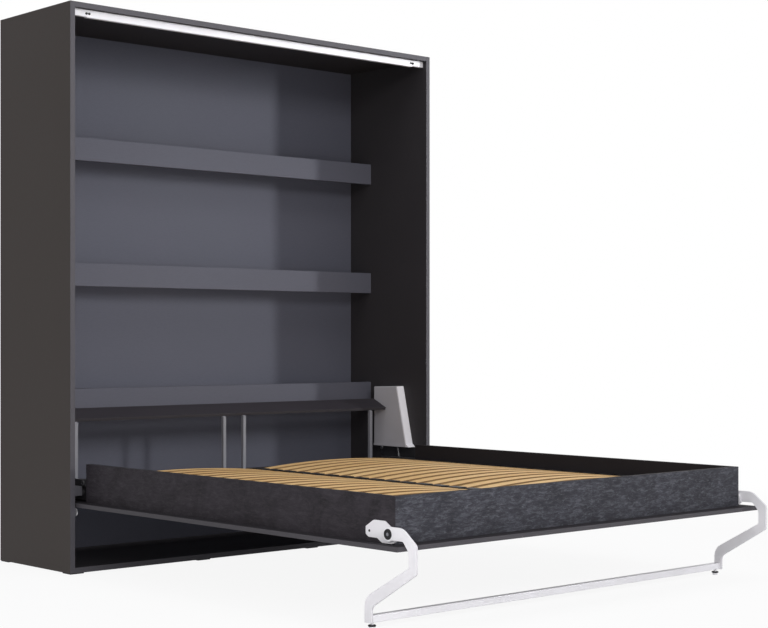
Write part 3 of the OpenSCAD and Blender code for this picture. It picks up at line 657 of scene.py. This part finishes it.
collarFront, collarTop = coverY - coverLook["collarOut"], coverZ + coverLook["collar"]
collar = [(collarFront, coverZ), (collarFront + coverLean * coverLook["collar"], collarTop),
          (coverBack, collarTop), (coverBack, coverZ)]
foot = [(coverY + y, coverZ + z) for y, z in coverLook["foot"]]
lift, wrap = coverLook["stripOut"], coverLook["stripWrap"]
strip, wrapped = frontStrip(-lift, coverLook["stripDeep"]), frontStrip(-lift, wrap)
groove = frontStrip(wrap, wrap + coverLook["groove"], coverLook["collar"])
for side, word in ((-1, "left"), (1, "right")):
    node = "mechanism_cover_" + word
    low, high = boxOf(node)
    inner, outer = sorted((abs(low[0]), abs(high[0])))
    inner += coverLook["innerIn"]
    shell = makePiece(word + "Cover", [coverShell(side, outer, inner)], [paints["cover"]], [node])
    wall = shell.modifiers.new("wall", "SOLIDIFY")
    wall.thickness = coverLook["wall"]
    wall.offset = -1
    shell.modifiers.move(1, 0)  # the wall comes before the even shading
    collarPart = coverBlock(collar, side, inner - coverLook["collarOut"],
                            inner + coverLook["collarDeep"], "collarRound")
    makePiece(word + "CoverCollar", [collarPart], [paints["cover"]], [], "cabinet")
    makePiece(word + "CoverStrip", [
        coverBlock(strip, side, inner - lift, outer, "stripRound"),
        coverBlock(wrapped, side, inner - lift, inner + coverLook["wrapDeep"], "stripRound"),
        coverBlock(foot, side, inner - lift, outer, "footRound"),
        coverBlock(groove, side, inner - coverLook["grooveOut"], inner + coverLook["grooveDeep"],
                   "grooveRound", slot=1, steps=1),
    ], [paints["coverStrip"], paints["darkSteel"]], [], "cabinet")
print("covers made")

# Bed: front panel with bands all round, border boards in slate decor with black inner faces
# The panel's top takes the darker panel tone and its underside the dark tone, both painted shade under the
# bed.
bandedBoard("frontPanel", "front_panel", boards["panel"], boards["litPanelBand"],
            ("-y", "+y", "-x", "+x"), other=("-z", boards["dark"]))
borderBoardLook = {"band": 0.0012, "bandRound": 0.0005, "coreRound": 0.0004, "coreSteps": 1}
borderLayers = {
    "leftBorder": ("border_left", (("-x", 0),), (slateShadedSide, boards["black"])),
    "rightBorder": ("border_right", (("+x", 0),), (slateShadedSide, boards["black"])),
    "footBoard": ("foot_board", (("-y", 0), ("-x", 2), ("+x", 2)), (slateFoot, boards["black"], slateShadedSide)),
}
for name, (node, layers, finishes) in borderLayers.items():
    makePiece(name, layeredParts(*boxOf(node), layers, borderBoardLook, coreSlot=1), finishes, [node])

# Black slat frame
frameLook = {"beamRound": 0.002, "battenRound": 0.001}
for name, node in (("leftFrameRail", "frame_rail_left"), ("rightFrameRail", "frame_rail_right"),
                   ("headRail", "head_rail"), ("footRail", "foot_rail"), ("centreBeam", "centre_beam")):
    low, high = boxOf(node)
    makePiece(name, [blockPart(low, high, frameLook["beamRound"], steps=3)], [boards["black"]], [node])
makePiece("panelBattens", [nodePart("panel_battens", frameLook["battenRound"])], [boards["black"]],
          ["panel_battens"])
print("bed boards made")

# Sprung slats: bent strips with rounded long edges, each with its own tone
slatLook = {"count": 20, "width": 0.060, "thick": 0.008, "edge": 0.0028, "edgeSteps": 3, "steps": 28,
            "endPlay": 0.0003, "play": 0.0002, "seed": 7}
dice = random.Random(slatLook["seed"])


# Outline of a slat: four rounded corners, from the lower back one round to the lower front one
def slatSection():
    halfWidth, thick, edge = slatLook["width"] / 2, slatLook["thick"], slatLook["edge"]
    points = []
    for cy, cz, first in ((halfWidth - edge, edge, -90), (halfWidth - edge, thick - edge, 0),
                          (edge - halfWidth, thick - edge, 90), (edge - halfWidth, edge, 180)):
        for k in range(slatLook["edgeSteps"] + 1):
            a = math.radians(first + 90 * k / slatLook["edgeSteps"])
            points.append((cy + edge * math.cos(a), cz + edge * math.sin(a)))
    return points


def slatStrip(bm, tone, x0, x1, y, z, rise):
    layer = bm.verts.layers.float.get("slatTone") or bm.verts.layers.float.new("slatTone")
    half = (x1 - x0) / 2
    bend = (half * half + rise * rise) / (2 * rise)
    section = slatSection()
    rings = []
    for i in range(slatLook["steps"] + 1):
        a = math.asin(half / bend) * (2 * i / slatLook["steps"] - 1)
        ring = []
        for dy, dz in section:
            r = bend + dz
            v = bm.verts.new((x0 + half + r * math.sin(a), y + dy, z + rise - bend + r * math.cos(a)))
            v[layer] = tone
            ring.append(v)
        rings.append(ring)
    count, corner = len(section), slatLook["edgeSteps"] + 1
    for a, b in zip(rings, rings[1:]):
        for i in range(count):
            j = (i + 1) % count
            f = bm.faces.new((a[i], a[j], b[j], b[i]))
            f.material_index = 1 if i // corner in (0, 2) else 0  # the sawn long edges
    for ring in (rings[0], rings[-1]):
        bm.faces.new(ring).material_index = 1


slatRows = []
for side, word in ((-1, "left"), (1, "right")):
    low, high = boxOf("slats_" + word)
    pitch = (high[1] - low[1] - slatLook["width"]) / (slatLook["count"] - 1)
    bm = bmesh.new()
    rise = high[2] - low[2] - slatLook["thick"]
    for i in range(slatLook["count"]):
        y = low[1] + slatLook["width"] / 2 + i * pitch
        slatStrip(bm, dice.random(), low[0] + slatLook["endPlay"], high[0] - slatLook["endPlay"], y,
                  low[2] + slatLook["play"], rise - 2 * slatLook["play"])
        if side < 0:
            slatRows.append(y)
    bmesh.ops.recalc_face_normals(bm, faces=bm.faces)
    makePiece(word + "Slats", [bm], [beechTop, beechShadedEdge], ["slats_" + word], smooth=50)

# Plastic slat holders: pockets at the rails and double pockets on the beam
holderLook = {"wall": 0.003, "floor": 0.0035, "lip": 0.0024, "cheek": 0.0026, "high": 0.017, "reach": 0.029,
              "round": 0.001}


def pocketParts(x0, x1, y, z):
    radius, lip, cheek = holderLook["round"], holderLook["lip"], holderLook["cheek"]
    wide, top = slatLook["width"] / 2 + holderLook["wall"], z + holderLook["high"]
    return [
        blockPart((x0, y - wide, z), (x1, y + wide, z + holderLook["floor"]), radius),
        blockPart((x0, y - wide, top - lip), (x1, y + wide, top), radius, steps=3),
        blockPart((x0, y - wide, z), (x1, y - wide + cheek, top), radius, steps=3),
        blockPart((x0, y + wide - cheek, z), (x1, y + wide, top), radius, steps=3),
    ]


low, high = boxOf("slat_holders_outer")
outerParts = []
for y in slatRows:
    for side in (-1, 1):
        x0, x1 = sorted((side * high[0], side * (high[0] - holderLook["reach"])))
        outerParts += pocketParts(x0, x1, y, low[2])
makePiece("outerHolders", outerParts, [paints["blackPlastic"]], ["slat_holders_outer"])
low, high = boxOf("slat_holders_centre")
middleParts = []
for y in slatRows:
    middleParts += pocketParts(low[0], high[0], y, low[2])
makePiece("middleHolders", middleParts, [paints["blackPlastic"]], ["slat_holders_centre"])
print("slats made")

# Head ledge on four square posts
postLook = {"round": 0.0012}
makePiece("headPosts", [nodePart("head_posts", postLook["round"])], [paints["silver"]], ["head_posts"])
ledgeLook = {"slope": 25, "thick": 0.013, "band": 0.0012, "bandRound": 0.0005, "coreRound": 0.0003,
             "coreSteps": 2}
low, high = boxOf("head_ledge")
slope, thick = math.radians(ledgeLook["slope"]), ledgeLook["thick"]
deep = ((high[1] - low[1]) - thick * math.sin(slope)) / math.cos(slope)
turn = Matrix.Rotation(slope, 3, "X")
frontTop = Vector((0, low[1], high[2] - deep * math.sin(slope)))
ledgeParts = layeredParts([low[0], 0, -thick], [high[0], deep, 0],
                          (("-y", 1), ("+y", 1), ("-x", 1), ("+x", 1)), ledgeLook)
for part in ledgeParts:
    for v in part.verts:
        v.co = turn @ v.co + frontTop
makePiece("headLedge", ledgeParts, [boards["ledge"], boards["litLedgeBand"]], ["head_ledge"])
print("ledge made")

# Leg frame: two bent flat bars, a tube between them, caps over the pivot bolts and round feet
legLook = {
    "outline": ((0, 0.0243), (-0.067, 0.0243), (-0.1315, -0.0262), (-0.1315, -0.1184),
                (0.0795, -0.2443), (0.0795, -0.2975), (0.1145, -0.2975), (0.1145, -0.2162),
                (-0.0965, -0.0998), (-0.0965, -0.0506), (-0.0698, -0.0185), (-0.01575, -0.0185)),
    "radii": (0, 0.060, 0.014, 0.012, 0.025, 0.002, 0.002, 0.055, 0.008, 0.020, 0.010, 0),
    "root": 0.0243,
    "edge": 0.0014,
    "edgeSteps": 3,
    "arcSteps": 12,
    "shadedEdgeSlant": 0.3,
}
legY, legZ = -1.12975, 0.319  # axis of the leg bolts


# An outline with each corner turned into an arc of its own radius
def roundedOutline(points, radii, steps):
    result = []
    count = len(points)
    for i in range(count):
        a, b, c = (Vector(points[(i + k) % count]) for k in (-1, 0, 1))
        if not radii[i]:
            result.append(b)
            continue
        u, v = (a - b).normalized(), (c - b).normalized()
        half = u.angle(v) / 2
        centre = b + (u + v).normalized() * radii[i] / math.sin(half)
        first = b + u * radii[i] / math.tan(half) - centre
        last = b + v * radii[i] / math.tan(half) - centre
        start, sweep = math.atan2(first.y, first.x), first.angle_signed(last)
        for k in range(steps + 1):
            turned = start - sweep * k / steps
            result.append(centre + radii[i] * Vector((math.cos(turned), math.sin(turned))))
    return result


def legPlace(points):
    return [(legY + p[0], legZ + p[1]) for p in points]


# The round end behind the pivot closes the outline
rootStart = math.atan2(legLook["outline"][-1][1], legLook["outline"][-1][0])
rootSteps = 3 * legLook["arcSteps"]
rootArc = [legLook["root"] * Vector((math.cos(a), math.sin(a))) for a in
           (rootStart + (math.pi / 2 - rootStart) * k / rootSteps for k in range(1, rootSteps))]
legOutline = legPlace(roundedOutline(legLook["outline"], legLook["radii"], legLook["arcSteps"]) + rootArc)
for side, word in ((-1, "left"), (1, "right")):
    low, high = boxOf("leg_" + word)
    plate = platePart(legOutline, low[0], high[0], legLook["edge"], steps=legLook["edgeSteps"])
    # The narrow edge faces take the greyer copy of the white paint, which is painted shade.
    for f in plate.faces:
        f.material_index = 1 if abs(f.normal.x) < legLook["shadedEdgeSlant"] else 0
    makePiece(word + "Leg", [plate], [paints["white"], paints["shadedLegEdge"]], ["leg_" + word])

# Bracket plates behind the legs, with a rivet each
bracketLook = {
    "outline": ((0.1256, 0.0157), (0.1102, 0.0247), (0.0872, 0.0389), (0.0342, 0.0391), (0.008, 0.0231),
                (-0.018, 0.004), (-0.0255, -0.0205), (-0.0144, -0.0278), (-0.0014, -0.033),
                (0.0455, -0.033), (0.0701, -0.019), (0.1121, -0.0189), (0.1256, -0.0099)),
    "corner": 0.0035,
    "cornerShare": 0.4,
    "cornerSteps": 4,
    "thick": 0.006,
    "edge": 0.001,
}


# An outline with each corner softened over a length, at most a share of the sides that meet there
def softenedOutline(points, length, share, steps):
    result = []
    count = len(points)
    for i in range(count):
        a, b, c = (Vector(points[(i + k) % count]) for k in (-1, 0, 1))
        reach = min(length, share * (a - b).length, share * (c - b).length)
        p, q = b + (a - b).normalized() * reach, b + (c - b).normalized() * reach
        for k in range(steps + 1):
            t = k / steps
            result.append((1 - t) ** 2 * p + 2 * t * (1 - t) * b + t * t * q)
    return result


low, high = boxOf("leg_brackets")
bracketShape = legPlace(softenedOutline(bracketLook["outline"], bracketLook["corner"],
                                        bracketLook["cornerShare"], bracketLook["cornerSteps"]))
bracketParts = [platePart(bracketShape, side * high[0], side * (high[0] - bracketLook["thick"]),
                          bracketLook["edge"]) for side in (-1, 1)]
makePiece("legBrackets", bracketParts, [paints["white"]], ["leg_brackets"])

rivetLook = {"height": 0.0006,
             "profile": ((0, 0.0044), (0.0004, 0.0042), (0.0006, 0.0034), (0.0003, 0.002), (0.0003, 0))}
low, high = boxOf("bracket_bolts")
rivetY, rivetZ = (low[1] + high[1]) / 2, (low[2] + high[2]) / 2
rivetParts = [turnedPart(rivetLook["profile"], (side * (high[0] - rivetLook["height"]), rivetY, rivetZ),
                         (side, 0, 0)) for side in (-1, 1)]
makePiece("bracketRivets", rivetParts, [paints["rubber"]], ["bracket_bolts"])

# Round cap: rim, shallow dish and a plain hexagon in the middle
capLook = {
    "height": 0.003,
    "profile": ((0, 0.0175), (0.0020, 0.0175), (0.0027, 0.0170), (0.0030, 0.0165), (0.0030, 0.0153),
                (0.0018, 0.0143), (0.0018, 0.0072), (0.0026, 0.0068), (0.0026, 0)),
    "hexagon": ((0, 0.0062), (0.0029, 0.0062), (0.0030, 0.0057), (0.0030, 0)),
}
low, high = boxOf("leg_caps")
capParts = []
for side in (-1, 1):
    base, axis = (side * (high[0] - capLook["height"]), legY, legZ), (side, 0, 0)
    capParts.append(turnedPart(capLook["profile"], base, axis, count=56))
    capParts.append(turnedPart(capLook["hexagon"], base, axis, slot=1, count=6))
makePiece("legCaps", capParts, [paints["blackPlastic"], paints["silver"]], ["leg_caps"])

# Square tube between the legs
legTubeLook = {"wall": 0.002, "round": 0.0022}
low, high = boxOf("leg_crossbar")
makePiece("legTube", [squareTube(low, high, legTubeLook["wall"], legTubeLook["round"])],
          [paints["white"]], ["leg_crossbar"])

# Feet: a lower step, a round pad and a stem up to the tube
footLook = {
    "radius": 0.0135,
    "step": ((0, 0), (0, 0.0090), (0.0010, 0.0100), (0.0076, 0.0100), (0.0080, 0.0096), (0.0080, 0)),
    "pad": ((0.0080, 0), (0.0080, 0.0127), (0.0088, 0.0135), (0.0120, 0.0135), (0.0135, 0.0115),
            (0.0135, 0)),
    "stem": 0.005,
    "stemStart": 0.0135,
}
low, high = boxOf("leg_feet")
stemStart, stem, stemEnd = footLook["stemStart"], footLook["stem"], high[2] - low[2]
stemProfile = ((stemStart, 0), (stemStart, stem), (stemEnd, stem), (stemEnd, 0))
footParts = []
for side in (-1, 1):
    spot = (side * (high[0] - footLook["radius"]), (low[1] + high[1]) / 2, low[2])
    for profile, slot in ((footLook["step"], 1), (footLook["pad"], 0), (stemProfile, 1)):
        footParts.append(turnedPart(profile, spot, (0, 0, 1), slot))
makePiece("legFeet", footParts, [paints["rubber"], paints["white"]], ["leg_feet"])
print("leg frame made")

# Gas springs: cylinder with rolled ends, rod, and an eye at each end
springLook = {
    "top": (0.95225, 0.92625, 0.674),
    "axis": (0, -0.186384, -0.982477),
    "whole": 0.316550,
    "tube": ((0.0105, 0), (0.0105, 0.0060), (0.0250, 0.0060), (0.0260, 0.0100), (0.0290, 0.0130),
             (0.0380, 0.0130), (0.0395, 0.0120), (0.0410, 0.0130), (0.2430, 0.0130), (0.2445, 0.0120),
             (0.2460, 0.0130), (0.2560, 0.0130), (0.2580, 0.0110), (0.2580, 0.0052), (0.2560, 0.0052),
             (0.2560, 0)),
    "rod": ((0.0560, 0), (0.0560, 0.0050), (0.29205, 0.0050), (0.29305, 0.0075), (0.30405, 0.0075),
            (0.30605, 0.0060), (0.30605, 0)),
    "eyeWide": 0.014,
    "weld": 1e-6,
    "eye": ((0, 0.0051), (0, 0.0110), (0.0010, 0.0120), (0.0130, 0.0120), (0.0140, 0.0110),
            (0.0140, 0.0051), (0, 0.0051)),
}
springAxis = Vector(springLook["axis"])


def eyePart(centre, across):
    start = centre - Vector((across * springLook["eyeWide"] / 2, 0, 0))
    bm = turnedPart(springLook["eye"], start, (across, 0, 0), count=36)
    ends = [f for f in bm.faces if len(f.verts) > 4]
    bmesh.ops.delete(bm, geom=ends, context="FACES_ONLY")
    bmesh.ops.remove_doubles(bm, verts=bm.verts, dist=springLook["weld"])
    return bm


for side, word in ((-1, "left"), (1, "right")):
    top = Vector((side * springLook["top"][0], *springLook["top"][1:]))
    end = top + springAxis * springLook["whole"]
    makePiece(word + "SpringTube", [turnedPart(springLook["tube"], top, springAxis), eyePart(top, -side)],
              [paints["darkSteel"]], ["spring_cylinder_" + word])
    makePiece(word + "SpringRod", [turnedPart(springLook["rod"], top, springAxis), eyePart(end, -side)],
              [paints["rodSteel"]], ["spring_rod_" + word])
print("springs made")


# Floor and light. Looked at straight, in a mirror or through glass, both are white or nearly so.
def seenDirectly(tree):
    path = tree.nodes.new("ShaderNodeLightPath")
    seen = mathOf(tree, "MAXIMUM", path.outputs["Is Camera Ray"], path.outputs["Is Glossy Ray"])
    return mathOf(tree, "MAXIMUM", seen, path.outputs["Is Transmission Ray"])


def mixedOutput(tree, share, first, second, outputKind):
    mix = tree.nodes.new("ShaderNodeMixShader")
    for socket, source in zip(mix.inputs, (share, first.outputs[0], second.outputs[0])):
        tree.links.new(source, socket)
    tree.links.new(mix.outputs[0], tree.nodes.new(outputKind).inputs[0])


floorLook = {"size": 14.0, "cells": 8, "low": 0.0005, "tone": (0.78, 0.78, 0.79), "nearFade": 2.2,
             "farFade": 4.6, "whiteShare": 0.91}
bm = bmesh.new()
bmesh.ops.create_grid(bm, x_segments=floorLook["cells"], y_segments=floorLook["cells"],
                      size=floorLook["size"])
floorMesh = bpy.data.meshes.new("studioFloor")
bm.to_mesh(floorMesh)
bm.free()
floor = bpy.data.objects.new("studioFloor", floorMesh)
scene.collection.objects.link(floor)
floor.location = (0, 0, -floorLook["low"])
floorFinish = bpy.data.materials.new("paleFloor")
floorFinish.use_nodes = True
tree = floorFinish.node_tree
tree.nodes.clear()
matt = tree.nodes.new("ShaderNodeBsdfDiffuse")
matt.inputs["Color"].default_value = (*floorLook["tone"], 1)
white = tree.nodes.new("ShaderNodeEmission")
place = tree.nodes.new("ShaderNodeTexCoord")
length = tree.nodes.new("ShaderNodeVectorMath")
length.operation = "LENGTH"
tree.links.new(place.outputs["Object"], length.inputs[0])
fade = spread(tree, length.outputs["Value"], floorLook["nearFade"], floorLook["farFade"],
              floorLook["whiteShare"], 1.0)
mixedOutput(tree, mathOf(tree, "MULTIPLY", seenDirectly(tree), fade), matt, white,
            "ShaderNodeOutputMaterial")
floorMesh.materials.append(floorFinish)

worldLook = {"ambient": (0.45, 0.45, 0.468), "bright": (1, 1, 1)}
world = bpy.data.worlds.new("studio")
scene.world = world
world.use_nodes = True
tree = world.node_tree
tree.nodes.clear()
dim = tree.nodes.new("ShaderNodeBackground")
dim.inputs["Color"].default_value = (*worldLook["ambient"], 1)
bright = tree.nodes.new("ShaderNodeBackground")
bright.inputs["Color"].default_value = (*worldLook["bright"], 1)
mixedOutput(tree, seenDirectly(tree), dim, bright, "ShaderNodeOutputWorld")

lampLook = {
    "key": {"place": (6.0, -5.0, 3.0), "aim": (-0.1, 1.0, 1.9), "size": (0.5, 2.2), "power": 35,
            "spread": 58, "colour": (0.97, 0.98, 1.0)},
    "frontFill": {"place": (-4.5, -12.0, 5.8), "aim": (0.0, 0.6, 0.9), "size": (6.0, 3.0), "power": 500,
                  "colour": (1.0, 1.0, 1.0)},
    "top": {"place": (0.0, -0.5, 4.2), "aim": (0.0, -0.3, 0.3), "size": (2.4, 2.4), "power": 50,
            "colour": (1.0, 0.99, 0.97)},
    "nearFill": {"place": (-2.6, -2.6, 0.9), "aim": (-0.93, -1.15, 0.15), "size": (1.0, 0.8), "power": 22,
                 "colour": (1.0, 0.985, 0.98)},
}
for name, look in lampLook.items():
    lamp = bpy.data.objects.new(name + "Lamp", bpy.data.lights.new(name + "Lamp", "AREA"))
    scene.collection.objects.link(lamp)
    lamp.location = look["place"]
    lamp.rotation_euler = (Vector(look["place"]) - Vector(look["aim"])).to_track_quat("Z", "Y").to_euler()
    lamp.data.shape = "RECTANGLE"
    lamp.data.size, lamp.data.size_y = look["size"]
    lamp.data.energy = look["power"]
    lamp.data.spread = math.radians(look.get("spread", 180))
    lamp.data.color = look["colour"]
print("floor and light set")
